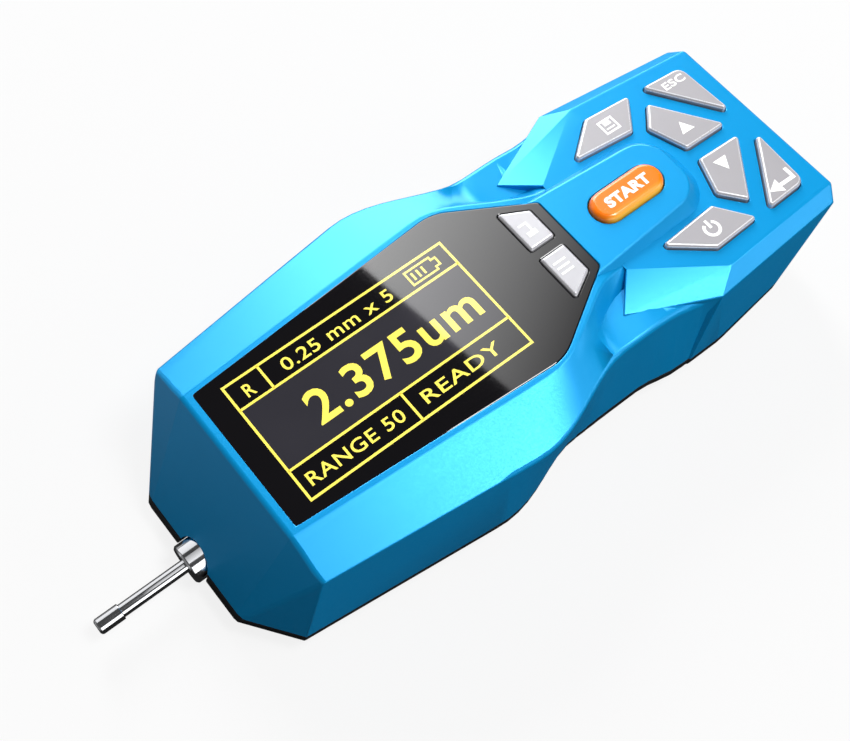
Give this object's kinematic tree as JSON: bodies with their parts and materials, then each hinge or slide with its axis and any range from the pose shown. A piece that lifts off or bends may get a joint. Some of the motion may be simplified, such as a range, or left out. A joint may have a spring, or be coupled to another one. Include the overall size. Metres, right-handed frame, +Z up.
{
  "type": "surface roughness tester",
  "caption": "Handheld surface roughness tester: faceted housing with display window, keypad and start key, and a chrome pickup that a screw drive draws into the nose.",
  "frame": {"origin": "middle of the flat base, on the plane that the tester stands on", "axes": "+X from the pickup end to the keypad end, +Y to the tester's left seen from the pickup end's rear, +Z up through the window"},
  "size_m": [0.1807, 0.0698, 0.0364],
  "materials": {
    "blue_abs": "satin moulded, azure blue",
    "black_abs": "fine matt moulded",
    "black_acrylic": "polished",
    "display_glass": "dark panel",
    "board_laminate": "green solder mask",
    "silicone": "translucent grey",
    "battery_wrap": "shrink wrap",
    "key_grey": "silver-grey satin paint",
    "soft_key_silver": "silver paint",
    "start_orange": "gloss orange",
    "chrome": "polished plate",
    "steel": "turned",
    "cast_alloy": "cast",
    "brass": "turned",
    "copper": "enamelled winding",
    "diamond": "ground"
  },
  "bodies": {
    "housing": {"top_shell": "blue_abs", "base_cover": "black_abs", "display_window": "black_acrylic", "display_panel": "display_glass", "main_board": "board_laminate", "keypad_board": "board_laminate", "key_mat": "silicone", "charge_board": "board_laminate", "usb_socket": "steel", "battery": "battery_wrap", "drive_frame": "cast_alloy", "guide_rods": "steel", "screw_bushes": "brass", "drive_motor": "steel", "case_screws": "steel", "board_screws": "steel", "frame_screws": "steel", "stand_insert": "brass"},
    "traverse": {"carriage": "cast_alloy", "drive_nut": "brass", "pickup_socket": "black_abs", "pickup_body": "chrome", "guard_tube": "chrome", "skid_nose": "chrome", "stylus_pivot": "steel", "pickup_coil": "copper", "pickup_plug": "brass"},
    "screw": {"lead_screw": "steel", "shaft_coupling": "steel", "motor_shaft": "steel"},
    "stylus": {"stylus_arm": "steel", "stylus_tip": "diamond"},
    "start_key": {"start_key": "start_orange"},
    "save_key": {"save_key": "key_grey"},
    "up_key": {"up_key": "key_grey"},
    "escape_key": {"escape_key": "key_grey"},
    "power_key": {"power_key": "key_grey"},
    "down_key": {"down_key": "key_grey"},
    "enter_key": {"enter_key": "key_grey"},
    "left_soft_key": {"left_soft_key": "soft_key_silver"},
    "right_soft_key": {"right_soft_key": "soft_key_silver"}
  },
  "joints": [
    {"name": "pickup_traverse", "type": "slide", "parent": "housing", "child": "traverse", "axis": [1, 0, 0], "range_m": [0, 0.0175]},
    {"name": "screw_spin", "type": "hinge", "parent": "housing", "child": "screw", "pos_m": [-0.032, 0, 0.014], "axis": [1, 0, 0], "range_deg": [-3150, 0]},
    {"name": "stylus_tip_lift", "type": "hinge", "parent": "traverse", "child": "stylus", "pos_m": [-0.065, 0, 0.00605], "axis": [0, 1, 0], "range_deg": [-0.2, 0.5], "stiffness_Nm_per_rad": 0.02},
    {"name": "start_press", "type": "slide", "parent": "housing", "child": "start_key", "axis": [0, 0, -1], "range_m": [0, 0.0008], "stiffness_N_per_m": 1500},
    {"name": "save_press", "type": "slide", "parent": "housing", "child": "save_key", "axis": [-0.0656, 0, -0.9978], "range_m": [0, 0.0008], "stiffness_N_per_m": 1500},
    {"name": "up_press", "type": "slide", "parent": "housing", "child": "up_key", "axis": [-0.0656, 0, -0.9978], "range_m": [0, 0.0008], "stiffness_N_per_m": 1500},
    {"name": "escape_press", "type": "slide", "parent": "housing", "child": "escape_key", "axis": [-0.0656, 0, -0.9978], "range_m": [0, 0.0008], "stiffness_N_per_m": 1500},
    {"name": "power_press", "type": "slide", "parent": "housing", "child": "power_key", "axis": [-0.0656, 0, -0.9978], "range_m": [0, 0.0008], "stiffness_N_per_m": 1500},
    {"name": "down_press", "type": "slide", "parent": "housing", "child": "down_key", "axis": [-0.0656, 0, -0.9978], "range_m": [0, 0.0008], "stiffness_N_per_m": 1500},
    {"name": "enter_press", "type": "slide", "parent": "housing", "child": "enter_key", "axis": [-0.0656, 0, -0.9978], "range_m": [0, 0.0008], "stiffness_N_per_m": 1500},
    {"name": "left_soft_press", "type": "slide", "parent": "housing", "child": "left_soft_key", "axis": [0, 0, -1], "range_m": [0, 0.0006], "stiffness_N_per_m": 1500},
    {"name": "right_soft_press", "type": "slide", "parent": "housing", "child": "right_soft_key", "axis": [0, 0, -1], "range_m": [0, 0.0006], "stiffness_N_per_m": 1500}
  ],
  "couplings": [
    {"joint": "screw_spin", "follows": "pickup_traverse", "rad_per_m": -3141.6}
  ]
}
